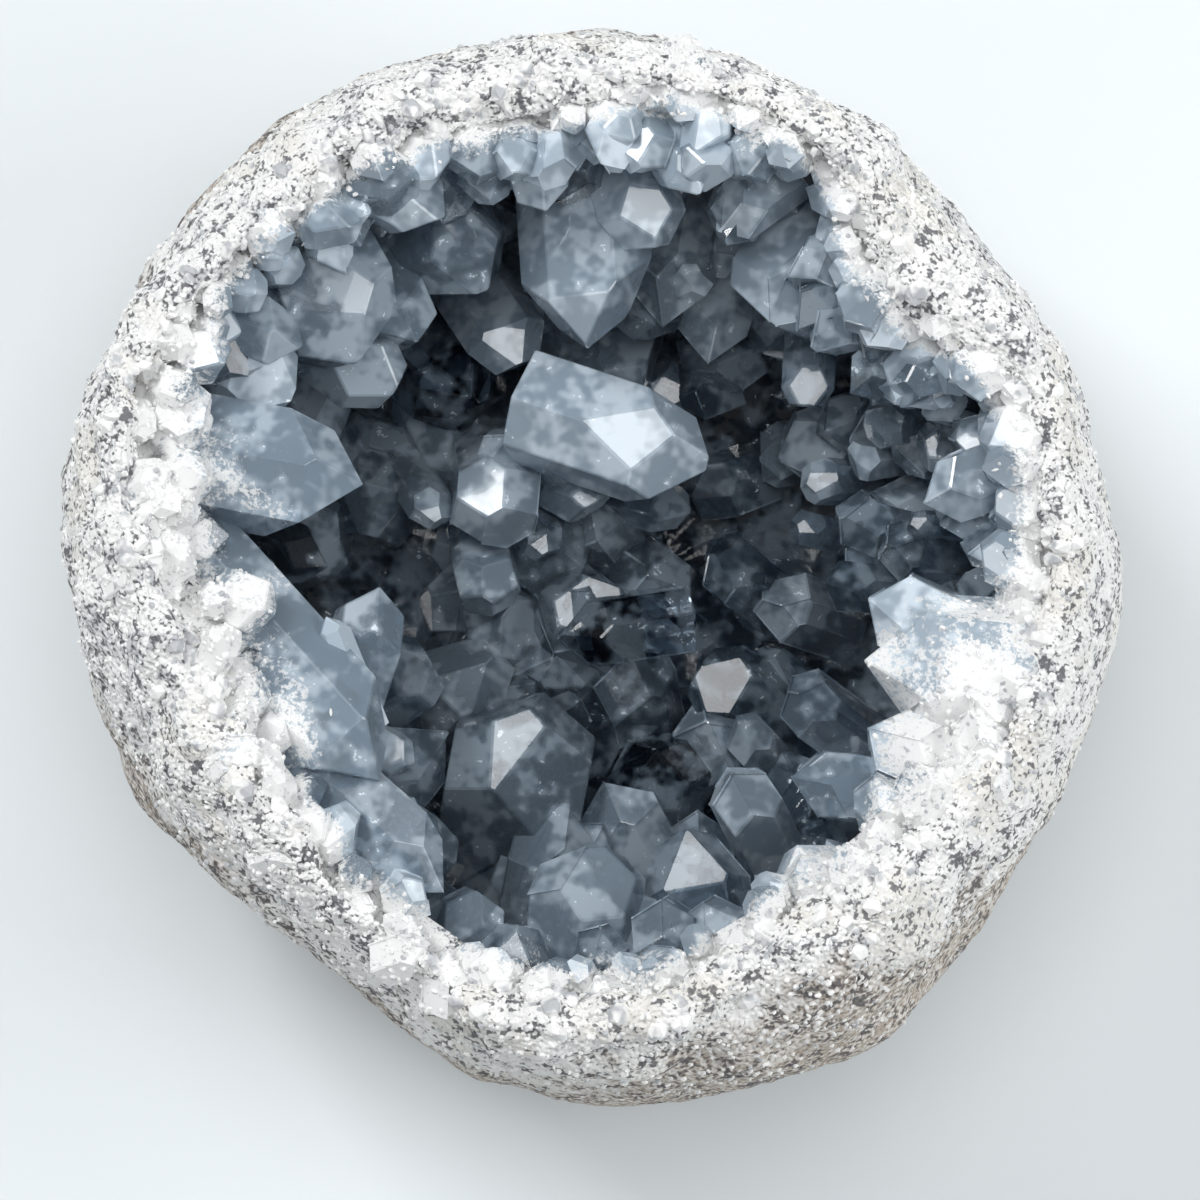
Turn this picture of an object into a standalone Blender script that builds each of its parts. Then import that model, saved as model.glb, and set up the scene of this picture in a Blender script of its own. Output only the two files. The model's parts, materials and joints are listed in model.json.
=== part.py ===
"""A celestite geode: a rough bowl of pale stone, open at the top, lined with blocky blue crystals.

The stone shell and the crust of crystals are two solids with a thin gap between them. Lengths in the
tables are millimetres, and MM turns them into metres where a mesh is made.
"""

import math
import random
from typing import NamedTuple

import bmesh
import bpy
from mathutils import Matrix, Vector, noise

MM = 0.001

# The shell, seen from above: radii every 20 degrees, turning left from the right-hand side
STEP = 20
OUTLINE = (90, 90, 88, 90, 90.5, 93, 93, 91.5, 90.5, 88.5, 87, 84, 82, 89, 92.5, 94.5, 90.5, 89)
MOUTH = (75, 76, 66, 76, 76, 73, 74, 77, 78, 71, 66, 66, 70, 74, 71, 68, 71, 75)
RIM_HEIGHT = (107, 109, 112, 114, 115, 115, 114, 113, 114, 115, 116, 115, 114, 115, 116, 116, 112, 107)
MOUTH_WAVER = 2.5

# The shell, seen in section
FLAT_SPOT = 28
BELLY_HEIGHT = 54
CREST_SHARE = 0.2
LIP_DROP = 5
HOLLOW_HEIGHT = 60
HOLLOW_SHARE = 0.84
BED_HEIGHT = 21

# How finely the shell is divided, and how rough it is
SEGMENTS = 42
LOWER_RINGS = 6
UPPER_RINGS = 6
LIP_RINGS = 3
WALL_RINGS = 2
BED_RINGS = 6
LUMP_DEPTH = 2.6
LUMP_LENGTH = 27
PIT_DEPTH = 1.6
PIT_LENGTH = 12

# The lining that the crystals grow from, and how deep they root behind it
GAP = 0.35
LINING_DEPTH = 4.0
LINING_BACK = 2.0
LINING_DROP = 3.0
LINING_ROUGHNESS = 1.5
ROOT_DEPTH = 3.5

# Angles between a crystal's flat and its long side faces, and between its long axis and the faces
# of its end, and how far the angles and the places of the end faces vary
SIDE_FACE = 52
END_FACE_ACROSS = 46
END_FACE_OVER = 51
END_FACE_SPREAD = 8
END_STAGGER = 0.35
FACET_LEAN = 0.1
FACET_SHARE = 0.3

# Small stubs that half cover the lip of the stone
FRINGE = 24
FRINGE_WIDTH = (6, 10)
FRINGE_PITCH = (50, 75)


class Crystal(NamedTuple):
    """Tip, width and thickness in millimetres. The crystal points along bearing, turned left from +X,
    and rises by pitch; roll turns it about its own length. facet is the width of a face that lies
    nearly level across its top. A length of 0 means that it runs back into the wall behind it."""

    name: str
    x: float
    y: float
    z: float
    width: float
    thickness: float
    bearing: float
    pitch: float
    roll: float
    facet: float = 0
    length: float = 0


TOP = (
    Crystal("upper_left_prow", -37, 31, 96, 26, 19, -62, 22, 20, 9),
    Crystal("upper_left_block", -23, 55, 104, 16, 13, -30, 20, 35),
    Crystal("top_pale_stub", -16, 57, 104, 12, 10, -80, 30, 10),
    Crystal("top_speckled", -7, 55, 107, 13, 11, -80, 25, 50),
    Crystal("top_diamond", 1, 33, 92, 24, 14, -86, 15, 8),
    Crystal("top_lilac", 11, 50, 100, 16, 13, -75, 32, -10, 7),
    Crystal("top_right_plate", 19, 58, 108, 11, 7, -60, 20, 30, 4),
    Crystal("top_right_blue", 26, 60, 104, 14, 11, -100, 25, 0),
    Crystal("top_right_green", 23, 52, 98, 13, 10, -110, 35, 25),
    Crystal("top_small_pale", 2, 64, 108, 9, 8, -85, 40, 20),
    Crystal("upper_dark_wedge", -24, 63, 106, 12, 9, -60, 40, 0),
    Crystal("upper_rim_cluster", -21, 70, 108, 11, 9, -80, 35, 30),
    Crystal("right_shoulder_dark", 30, 37, 92, 24, 18, -115, 28, -20),
    Crystal("right_rim_grey", 39, 55, 108, 11, 9, -120, 40, 15),
    Crystal("inner_left_grey", -32, 28, 85, 18, 14, -40, 30, 10),
    Crystal("inner_left_blue", -28, 35, 90, 15, 12, -60, 35, 30),
    Crystal("inner_upper_blue", -17, 43, 90, 21, 15, -60, 30, -15),
    Crystal("inner_top_lilac", -11, 35, 74, 16, 9, -60, 50, -10, 5),
    Crystal("deep_top_a", 11, 41, 72, 14, 10, -90, 60, 20),
    Crystal("deep_top_b", 22, 35, 58, 18, 14, -110, 62, 0),
    Crystal("deep_top_fin", 17, 47, 78, 9, 7, -100, 60, 10),
)

RIGHT = (
    Crystal("fibrous", 51, 23, 100, 19, 12, -115, 30, 10),
    Crystal("right_striped", 37, 26, 84, 10, 8, -95, 45, 0, 5),
    Crystal("right_splinter", 59, 24, 98, 5, 4, -95, 40, 0),
    Crystal("right_blue", 61, 18, 96, 12, 10, 200, 40, 30),
    Crystal("right_wall_grey", 65, 6, 101, 17, 11, 190, 35, 15),
    Crystal("right_hexagon", 49, 23, 82, 9, 7, 200, 70, 30, 4),
    Crystal("right_trapezoid", 57, 19, 86, 11, 9, 195, 65, 0, 5),
    Crystal("right_slab", 38, 15, 72, 9, 8, 190, 65, 50, 4),
    Crystal("right_chip", 36, 8, 62, 8, 7, 180, 65, 20, 3),
    Crystal("right_comb_a", 43, 8, 78, 13, 10, 175, 55, 15),
    Crystal("right_comb_b", 50, 3, 84, 12, 9, 175, 55, -15),
    Crystal("right_comb_c", 59, 9, 90, 7, 6, 180, 60, 40, 3),
    Crystal("right_comb_d", 54, 6, 89, 6, 5, 185, 60, -30, 3),
    Crystal("right_low_stub", 40, -3, 78, 12, 9, 180, 50, 30),
    Crystal("tongue_upper", 46, -8, 104, 17, 14, 160, 30, 25),
    Crystal("tongue_middle", 42, -18, 103, 26, 17, 178, 14, 8, 8),
    Crystal("tongue_lower", 45, -28, 103, 17, 15, 150, 30, -30),
    Crystal("right_notch", 68, -24, 103, 10, 8, 160, 68, 25),
    Crystal("deep_right_a", 21, 4, 60, 14, 11, 150, 60, 25),
    Crystal("deep_right_b", 31, -4, 56, 14, 11, 170, 60, -10),
    Crystal("deep_right_green", 18, -15, 56, 17, 10, 150, 40, 0, 4),
    Crystal("deep_right_c", 25, -26, 64, 11, 9, 140, 60, 30),
    Crystal("deep_right_fin", 45, 18, 74, 8, 6, 200, 60, 0),
)

BOTTOM = (
    Crystal("lower_right_grey", 63, -36, 104, 15, 10, 150, 55, 0),
    Crystal("lower_right_blue", 46, -36, 94, 18, 12, 150, 40, 20),
    Crystal("lower_right_sparkle", 33, -37, 93, 15, 12, 172, 12, 40),
    Crystal("lower_right_green", 53, -47, 100, 9, 8, 130, 50, 10),
    Crystal("lower_right_pale", 35, -48, 106, 17, 12, 110, 35, -15, 5),
    Crystal("lower_square", 24, -36, 84, 14, 12, 120, 55, 45),
    Crystal("lower_inner_right", 34, -21, 75, 13, 11, 150, 55, 15),
    Crystal("bottom_right_slab", 16, -45, 90, 21, 12, 100, 35, 0),
    Crystal("bottom_right_frosted", 19, -57, 102, 14, 11, 110, 45, 20),
    Crystal("bottom_main", 1, -46, 96, 22, 17, 85, 32, 20),
    Crystal("bottom_left_stub", -18, -55, 100, 14, 12, 75, 45, -25),
    Crystal("lower_left_blade", -22, -58, 103, 17, 13, -42, 12, 20),
    Crystal("lower_left_deep", -25, -43, 84, 16, 12, 50, 50, 0),
    Crystal("lower_left_chip", -31, -40, 88, 9, 7, 60, 60, 30, 4),
    Crystal("lower_great", -10, -22, 78, 32, 28, 78, 58, 40, 10),
    Crystal("deep_lower", 11, -29, 58, 21, 16, 110, 60, -20),
    Crystal("bottom_crusted", 2, -62, 106, 10, 8, 90, 50, 20),
    Crystal("bottom_left_frosted", -11, -61, 105, 15, 12, 80, 45, 0),
    Crystal("bottom_right_low", 12, -57, 103, 14, 11, 100, 45, 30),
)

LEFT = (
    Crystal("lower_left_great", -33, -39, 103, 24, 16, -48, 12, 5),
    Crystal("left_low_pale", -34, -4, 93, 16, 13, 70, 30, -20),
    Crystal("left_low_fin", -44, -10, 101, 7, 5, 112, 20, 0, 0, 22),
    Crystal("left_rim_stub", -54, -17, 106, 10, 9, 10, 50, 30),
    Crystal("left_rim_dark", -53, -9, 100, 11, 9, 0, 55, 0),
    Crystal("left_great", -35, 10, 103, 25, 16, -12, 14, 25),
    Crystal("left_rim_hexagon", -63, 18, 110, 14, 10, -20, 50, 5),
    Crystal("left_pale_block", -48, 26, 100, 18, 11, -30, 32, 10, 5),
    Crystal("left_upper_grey", -60, 40, 100, 12, 9, -30, 55, 40),
    Crystal("left_upper_chip", -54, 46, 96, 6, 5, -30, 65, 20, 3),
    Crystal("left_upper_wedge", -48, 49, 102, 11, 9, -50, 55, 0),
    Crystal("left_column", -66, 28, 104, 7, 6, -20, 45, 15, 3),
    Crystal("left_inner_clear", -26, -15, 72, 15, 11, 30, 50, 0),
    Crystal("left_inner_triangle", -32, -29, 74, 11, 9, 40, 55, 30, 4),
    Crystal("deep_left", -30, 14, 57, 20, 16, -10, 60, 35),
)

MIDDLE = (
    Crystal("deep_dome", -19, 30, 61, 22, 14, -50, 55, 0),
    Crystal("great_lying", 22, 16, 80, 24, 18, -20, 14, 30, 9, 36),
    Crystal("inner_bead", -14, 23, 73, 11, 9, 90, 75, 15),
    Crystal("inner_round", -4, 21, 76, 10, 9, 60, 75, 30),
    Crystal("centre_arrow", 0, 11, 70, 16, 12, -60, 60, 0, 6),
    Crystal("centre_cloud", -15, 8, 78, 19, 16, -80, 68, 20),
    Crystal("centre_left_prism", -26, 9, 68, 9, 7, -60, 60, 0, 3),
    Crystal("centre_glassy", -17, -6, 71, 14, 12, -80, 60, 45),
    Crystal("centre_sliver", -7, 3, 67, 9, 7, -70, 60, 10, 3),
    Crystal("centre_lilac", 3, 1, 60, 21, 14, 70, 50, 0, 9),
    Crystal("centre_black", -6, -11, 60, 15, 12, 190, 18, 25, 0, 24),
    Crystal("centre_plates", 18, 11, 58, 12, 7, -20, 40, 0),
)


def clear_scene():
    for old in list(bpy.data.objects):
        bpy.data.objects.remove(old)


def stone_material():
    """Chalky white stone."""
    material = bpy.data.materials.new("stone")
    material.use_nodes = True
    surface = material.node_tree.nodes["Principled BSDF"]
    surface.inputs["Base Color"].default_value = (0.78, 0.77, 0.74, 1)
    surface.inputs["Roughness"].default_value = 0.9
    return material


def celestite_material():
    """Clear grey-blue crystal."""
    material = bpy.data.materials.new("celestite")
    material.use_nodes = True
    surface = material.node_tree.nodes["Principled BSDF"]
    surface.inputs["Base Color"].default_value = (0.36, 0.46, 0.56, 1)
    surface.inputs["Roughness"].default_value = 0.08
    surface.inputs["IOR"].default_value = 1.62
    return material


def around(values, angle):
    """A smooth closed curve through values that are STEP degrees apart, read at an angle in radians."""
    place = math.degrees(angle) / STEP
    first = math.floor(place)
    t = place - first
    p = [values[(first + k) % len(values)] for k in (-1, 0, 1, 2)]
    slope_in = (p[2] - p[0]) / 2
    slope_out = (p[3] - p[1]) / 2
    bend = 3 * (p[2] - p[1]) - 2 * slope_in - slope_out
    twist = 2 * (p[1] - p[2]) + slope_in + slope_out
    return p[1] + t * (slope_in + t * (bend + t * twist))


def mouth_radius(angle):
    """The edge of the broken stone around the hollow, which wavers in and out."""
    waver = noise.noise(Vector((3 * math.cos(angle), 3 * math.sin(angle), 0.5)))
    return around(MOUTH, angle) + MOUTH_WAVER * waver


def crest_radius(angle):
    mouth = mouth_radius(angle)
    return mouth + CREST_SHARE * (around(OUTLINE, angle) - mouth)


def hollow_radius(angle):
    """The widest reach of the hollow, below its mouth."""
    return max(mouth_radius(angle) + 0.5, HOLLOW_SHARE * around(OUTLINE, angle))


def lip_height(angle):
    return around(RIM_HEIGHT, angle) - LIP_DROP


def outer_point(angle, rise):
    """Radius and height on the outside: rise is 0 at the flat spot, 1 at the belly and 2 at the crest."""
    belly = around(OUTLINE, angle)
    if rise <= 1:
        turn = rise * math.pi / 2
        radius = FLAT_SPOT + (belly - FLAT_SPOT) * math.sin(turn)
        return radius, BELLY_HEIGHT * (1 - math.cos(turn))
    turn = (rise - 1) * math.pi / 2
    crest = crest_radius(angle)
    height = BELLY_HEIGHT + (around(RIM_HEIGHT, angle) - BELLY_HEIGHT) * math.sin(turn)
    return crest + (belly - crest) * math.cos(turn), height


def inner_point(angle, drop):
    """Radius and height on the inside: drop is 0 at the crest, 1 below the lip, 2 at the widest reach
    of the hollow and 3 at the middle of its bed."""
    mouth = mouth_radius(angle)
    lip = lip_height(angle)
    if drop <= 1:
        turn = drop * math.pi / 2
        radius = mouth + (crest_radius(angle) - mouth) * (1 - math.sin(turn))
        return radius, lip + LIP_DROP * math.cos(turn)
    wide = hollow_radius(angle)
    if drop <= 2:
        t = drop - 1
        ease = t * t * (3 - 2 * t)
        return mouth + (wide - mouth) * ease, lip + (HOLLOW_HEIGHT - lip) * t
    turn = (drop - 2) * math.pi / 2
    return wide * math.cos(turn), HOLLOW_HEIGHT - (HOLLOW_HEIGHT - BED_HEIGHT) * math.sin(turn)


def inside_hollow(point):
    """Whether a point is in the open space that the stone encloses."""
    angle = math.atan2(point.y, point.x)
    radius = math.hypot(point.x, point.y)
    wide = hollow_radius(angle)
    if point.z > HOLLOW_HEIGHT:
        t = min(1, (point.z - HOLLOW_HEIGHT) / (lip_height(angle) - HOLLOW_HEIGHT))
        ease = t * t * (3 - 2 * t)
        return radius < wide + (mouth_radius(angle) - wide) * ease
    depth = (HOLLOW_HEIGHT - point.z) / (HOLLOW_HEIGHT - BED_HEIGHT)
    return depth < 1 and radius < wide * math.sqrt(1 - depth * depth)


def at(angle, radius, height):
    return Vector((radius * math.cos(angle), radius * math.sin(angle), height))


def angles():
    return [2 * math.pi * i / SEGMENTS for i in range(SEGMENTS)]


def roughened(point, amount):
    """The point moved in or out from the middle of the stone by broad lumps and smaller pits."""
    centre = Vector((0, 0, BELLY_HEIGHT))
    lump = noise.noise(point / LUMP_LENGTH + Vector((3.1, 7.7, 1.3)))
    pit = noise.noise(point / PIT_LENGTH + Vector((9.2, 4.1, 6.6)))
    push = amount * (LUMP_DEPTH * lump + PIT_DEPTH * pit)
    return point + (point - centre).normalized() * push


def lofted(rings, first_pole=None, last_pole=None):
    """A mesh through closed rings of points, closed at either end by a fan to a pole, or by a flat
    face where there is no pole."""
    bm = bmesh.new()
    rows = [[bm.verts.new(p) for p in ring] for ring in rings]
    count = len(rows[0])
    for low, high in zip(rows, rows[1:]):
        for i in range(count):
            j = (i + 1) % count
            bm.faces.new((low[i], low[j], high[j], high[i]))
    for row, pole, turned in ((rows[0], first_pole, True), (rows[-1], last_pole, False)):
        if pole is None:
            bm.faces.new(row[::-1] if turned else row)
            continue
        tip = bm.verts.new(pole)
        for i in range(count):
            j = (i + 1) % count
            bm.faces.new((row[j], row[i], tip) if turned else (row[i], row[j], tip))
    return bm


def rind_mesh():
    """The stone shell, from its flat spot up the outside, over the rim and down into the hollow. It is
    in triangles, so that a grown copy of it has the same facets."""
    rings = []
    for i in range(LOWER_RINGS + UPPER_RINGS + 1):
        rise = i / LOWER_RINGS if i <= LOWER_RINGS else 1 + (i - LOWER_RINGS) / UPPER_RINGS
        amount = min(1, 2 * rise)
        rings.append([roughened(at(a, *outer_point(a, rise)), amount) for a in angles()])
    drops = [i / LIP_RINGS for i in range(1, LIP_RINGS + 1)]
    drops += [1 + i / WALL_RINGS for i in range(1, WALL_RINGS + 1)]
    drops += [2 + i / BED_RINGS for i in range(1, BED_RINGS)]
    for drop in drops:
        amount = max(0, 1 - drop)
        rings.append([roughened(at(a, *inner_point(a, drop)), amount) for a in angles()])
    bm = lofted(rings, last_pole=Vector((0, 0, BED_HEIGHT)))
    bmesh.ops.triangulate(bm, faces=bm.faces[:], quad_method="FIXED")
    return bm


def grown(bm, distance):
    """The mesh with every point moved out along its normal."""
    bm.normal_update()
    for vert in bm.verts:
        vert.co += vert.normal * distance
    return bm


def lining_ring(drop, offset, roughness):
    """A ring along the wall of the hollow, moved by offset into the stone, or out of it if negative."""
    slope = max(0, drop - 2) * math.pi / 2
    ring = []
    for angle in angles():
        radius, height = inner_point(angle, drop)
        depth = offset + roughness * noise.noise(at(angle, radius, height) / PIT_LENGTH)
        ring.append(at(angle, radius + depth * math.cos(slope), height - depth * math.sin(slope)))
    return ring


def lining_mesh():
    """A thin closed skin on the wall of the hollow. Its back reaches into the stone, where it is cut."""
    top = 1 + LINING_DROP / HOLLOW_HEIGHT
    slanted = LINING_DEPTH / HOLLOW_HEIGHT
    drops = [top + (2 - top) * i / WALL_RINGS for i in range(WALL_RINGS)]
    drops += [2 + i / BED_RINGS for i in range(BED_RINGS)]
    back = [lining_ring(drop, LINING_BACK, 0) for drop in reversed(drops)]
    drops[0] += slanted
    front = [lining_ring(drop, -LINING_DEPTH, LINING_ROUGHNESS) for drop in drops]
    return lofted(
        back + front,
        first_pole=Vector((0, 0, BED_HEIGHT - LINING_BACK)),
        last_pole=Vector((0, 0, BED_HEIGHT + LINING_DEPTH)),
    )


def pointing(bearing, pitch):
    turn = math.radians(bearing)
    rise = math.radians(pitch)
    return Vector((math.cos(turn) * math.cos(rise), math.sin(turn) * math.cos(rise), math.sin(rise)))


def root_distance(crystal):
    """How far a crystal runs back from its tip: to its own length, or into the wall behind it."""
    if crystal.length:
        return crystal.length
    tip = Vector((crystal.x, crystal.y, crystal.z))
    back = -pointing(crystal.bearing, crystal.pitch)
    distance = crystal.width / 2
    while inside_hollow(tip + back * distance):
        distance += 1
    return distance + ROOT_DEPTH


def placement(crystal):
    """The matrix that takes a crystal from its own axes, along X and flat side up, to its place."""
    along = pointing(crystal.bearing, crystal.pitch)
    across = Vector((0, 0, 1)).cross(along).normalized()
    over = along.cross(across)
    turned = Matrix((along, across, over)).transposed().to_4x4()
    roll = Matrix.Rotation(math.radians(crystal.roll), 4, "X")
    return Matrix.Translation((crystal.x, crystal.y, crystal.z)) @ turned @ roll


def cut(bm, point, normal):
    """Takes off everything beyond a plane and closes the cut with one flat face."""
    found = bmesh.ops.bisect_plane(
        bm,
        geom=bm.verts[:] + bm.edges[:] + bm.faces[:],
        dist=1e-5,
        plane_co=point,
        plane_no=normal,
        clear_outer=True,
    )
    rim = [e for e in found["geom_cut"] if isinstance(e, bmesh.types.BMEdge)]
    if rim:
        bmesh.ops.contextual_create(bm, geom=rim)


def crystal_mesh(crystal):
    """One crystal: a flattened six-sided prism with a four-faced end, cut from a block by planes."""
    chance = random.Random(crystal.name)
    length = root_distance(crystal)
    half_width = crystal.width / 2
    bm = bmesh.new()
    bmesh.ops.create_cube(bm, size=1)
    block = Matrix.Diagonal((length, crystal.width, crystal.thickness, 1))
    bm.transform(Matrix.Translation((-length / 2, 0, 0)) @ block)
    side = math.radians(SIDE_FACE)
    for across in (-1, 1):
        for over in (-1, 1):
            normal = Vector((0, across * math.sin(side), over * math.cos(side)))
            cut(bm, normal * half_width * math.sin(side) * chance.uniform(0.86, 1), normal)
    for face, outward in ((END_FACE_ACROSS, Vector((0, 1, 0))), (END_FACE_OVER, Vector((0, 0, 1)))):
        turn = math.radians(face + chance.uniform(-END_FACE_SPREAD, END_FACE_SPREAD))
        for side in (-1, 1):
            start = Vector((-half_width * chance.uniform(0, END_STAGGER), 0, 0))
            cut(bm, start, Vector((math.cos(turn), 0, 0)) + side * math.sin(turn) * outward)
    bm.transform(placement(crystal))
    if crystal.facet:
        lean = Vector((chance.uniform(-1, 1), chance.uniform(-1, 1), 1 / FACET_LEAN)).normalized()
        highest = max(vert.co.dot(lean) for vert in bm.verts)
        cut(bm, lean * (highest - FACET_SHARE * crystal.facet), lean)
    return bm


def fringe():
    """Stubs at even steps around the lip, each turned and sized by chance."""
    stubs = []
    for i in range(FRINGE):
        name = f"fringe_{i}"
        chance = random.Random(name)
        angle = 2 * math.pi * (i + chance.uniform(-0.35, 0.35)) / FRINGE
        width = chance.uniform(*FRINGE_WIDTH)
        tip = at(angle, mouth_radius(angle) - width * 0.8, lip_height(angle) + chance.uniform(-2, 3))
        bearing = math.degrees(angle) + 180 + chance.uniform(-50, 50)
        pitch = chance.uniform(*FRINGE_PITCH)
        roll = chance.uniform(0, 180)
        stubs.append(Crystal(name, *tip, width, width * 0.8, bearing, pitch, roll))
    return stubs


def joined(meshes):
    whole = bmesh.new()
    for bm in meshes:
        piece = bpy.data.meshes.new("piece")
        bm.to_mesh(piece)
        bm.free()
        whole.from_mesh(piece)
        bpy.data.meshes.remove(piece)
    return whole


def make_object(name, bm, parent):
    """An object under parent, from a mesh in millimetres."""
    bm.transform(Matrix.Scale(MM, 4))
    mesh = bpy.data.meshes.new(name)
    bm.to_mesh(mesh)
    bm.free()
    obj = bpy.data.objects.new(name, mesh)
    obj.parent = parent
    bpy.context.scene.collection.objects.link(obj)
    return obj


def make_helper(name, bm, parent):
    helper = make_object(name, bm, parent)
    helper.hide_render = True
    helper.display_type = "WIRE"
    return helper


def combine(obj, operation, other):
    boolean = obj.modifiers.new(other.name, "BOOLEAN")
    boolean.operation = operation
    boolean.object = other
    boolean.use_self = True


def centred(bm):
    """Where an empty goes so that the mesh under it is centred on the origin, seen from above."""
    middle = [(min(v.co[k] for v in bm.verts) + max(v.co[k] for v in bm.verts)) / 2 for k in (0, 1)]
    return Vector((-middle[0], -middle[1], 0)) * MM


def main():
    clear_scene()
    geode = bpy.data.objects.new("geode", None)
    bpy.context.scene.collection.objects.link(geode)
    shell = rind_mesh()
    geode.location = centred(shell)

    rind = make_object("rind", shell, geode)
    rind.data.materials.append(stone_material())

    crystals = joined(crystal_mesh(c) for c in (*TOP, *RIGHT, *BOTTOM, *LEFT, *MIDDLE, *fringe()))
    crust = make_object("crystal_crust", lining_mesh(), geode)
    crust.data.materials.append(celestite_material())
    combine(crust, "UNION", make_helper("crystals", crystals, geode))
    combine(crust, "DIFFERENCE", make_helper("stone_cutter", grown(rind_mesh(), GAP), geode))


if __name__ == "__main__":
    main()
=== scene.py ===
# %% [markdown]
# # A celestite geode
# The real object is a rough, nearly round lump of pale stone that broke open across the top. Inside it,
# blocky grey-blue crystals grew inwards from the wall until they met. This lesson dresses the plain
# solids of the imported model: the stone gets its grain, pits and stains, and the crystals get bevelled
# edges, small neighbours, a clear body and the white powder that covers them along the rim.

import json
import math
import random
from typing import NamedTuple

import bmesh
import bpy
from mathutils import Matrix, Vector, noise

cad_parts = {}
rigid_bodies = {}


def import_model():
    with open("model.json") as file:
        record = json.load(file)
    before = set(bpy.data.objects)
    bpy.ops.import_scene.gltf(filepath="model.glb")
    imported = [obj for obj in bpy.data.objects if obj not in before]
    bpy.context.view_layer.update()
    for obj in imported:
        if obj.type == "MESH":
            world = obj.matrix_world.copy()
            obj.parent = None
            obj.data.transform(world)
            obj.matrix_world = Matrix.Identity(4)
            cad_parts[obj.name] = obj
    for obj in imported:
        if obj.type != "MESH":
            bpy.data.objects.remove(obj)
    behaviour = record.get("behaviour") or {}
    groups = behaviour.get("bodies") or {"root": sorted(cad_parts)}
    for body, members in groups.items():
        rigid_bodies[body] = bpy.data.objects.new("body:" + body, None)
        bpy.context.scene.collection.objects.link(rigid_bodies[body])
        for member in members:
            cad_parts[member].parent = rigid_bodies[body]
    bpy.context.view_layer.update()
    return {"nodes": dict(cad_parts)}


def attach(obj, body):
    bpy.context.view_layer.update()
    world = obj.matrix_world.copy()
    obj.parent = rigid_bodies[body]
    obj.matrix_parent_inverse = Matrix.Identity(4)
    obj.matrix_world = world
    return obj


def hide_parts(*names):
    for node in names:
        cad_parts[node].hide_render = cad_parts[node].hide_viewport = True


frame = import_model()
MM = 0.001
print("packed pieces:", sorted(frame["nodes"]))

# %% [markdown]
# ## The form of the stone
# The bowl follows a few lists of radii and heights, one value every 20 degrees. They are the same
# lists and curves as in the solid model, so whatever is made from them here fits it everywhere. All
# lengths in the lists are millimetres, and the middle of the lists lies a little off the middle of the
# model's box, which SHIFT corrects at the end.

# %% Curves of the bowl
STEP = 20
OUTLINE = (90, 90, 88, 90, 90.5, 93, 93, 91.5, 90.5, 88.5, 87, 84, 82, 89, 92.5, 94.5, 90.5, 89)
MOUTH = (75, 76, 66, 76, 76, 73, 74, 77, 78, 71, 66, 66, 70, 74, 71, 68, 71, 75)
RIM_HEIGHT = (107, 109, 112, 114, 115, 115, 114, 113, 114, 115, 116, 115, 114, 115, 116, 116, 112, 107)
MOUTH_WAVER = 2.5
MOUTH_WAVES = 3
FLAT_SPOT = 28
BELLY_HEIGHT = 54
CREST_SHARE = 0.2
LIP_DROP = 5
HOLLOW_HEIGHT = 60
HOLLOW_SHARE = 0.84
LEAST_OVERHANG = 0.5
BED_HEIGHT = 21
LUMP_DEPTH = 2.6
LUMP_LENGTH = 27
LUMP_PLACE = Vector((3.1, 7.7, 1.3))
PIT_DEPTH = 1.6
PIT_LENGTH = 12
PIT_PLACE = Vector((9.2, 4.1, 6.6))
SHIFT = Vector((-1.25, -0.33, 0))


def clamped(value):
    return max(0, min(1, value))


def around(values, angle):
    """A smooth closed curve through values that are STEP degrees apart, read at an angle in radians."""
    place = math.degrees(angle) / STEP
    first = math.floor(place)
    t = place - first
    p = [values[(first + k) % len(values)] for k in (-1, 0, 1, 2)]
    slope_in = (p[2] - p[0]) / 2
    slope_out = (p[3] - p[1]) / 2
    bend = 3 * (p[2] - p[1]) - 2 * slope_in - slope_out
    twist = 2 * (p[1] - p[2]) + slope_in + slope_out
    return p[1] + t * (slope_in + t * (bend + t * twist))


def mouth_radius(angle):
    waver = noise.noise(Vector((MOUTH_WAVES * math.cos(angle), MOUTH_WAVES * math.sin(angle), 0.5)))
    return around(MOUTH, angle) + MOUTH_WAVER * waver


def crest_radius(angle):
    mouth = mouth_radius(angle)
    return mouth + CREST_SHARE * (around(OUTLINE, angle) - mouth)


def hollow_radius(angle):
    return max(mouth_radius(angle) + LEAST_OVERHANG, HOLLOW_SHARE * around(OUTLINE, angle))


def lip_height(angle):
    return around(RIM_HEIGHT, angle) - LIP_DROP


def outer_point(angle, rise):
    """Radius and height on the outside: rise is 0 at the flat spot, 1 at the belly and 2 at the crest."""
    belly = around(OUTLINE, angle)
    if rise <= 1:
        turn = rise * math.pi / 2
        return FLAT_SPOT + (belly - FLAT_SPOT) * math.sin(turn), BELLY_HEIGHT * (1 - math.cos(turn))
    turn = (rise - 1) * math.pi / 2
    crest = crest_radius(angle)
    height = BELLY_HEIGHT + (around(RIM_HEIGHT, angle) - BELLY_HEIGHT) * math.sin(turn)
    return crest + (belly - crest) * math.cos(turn), height


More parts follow.
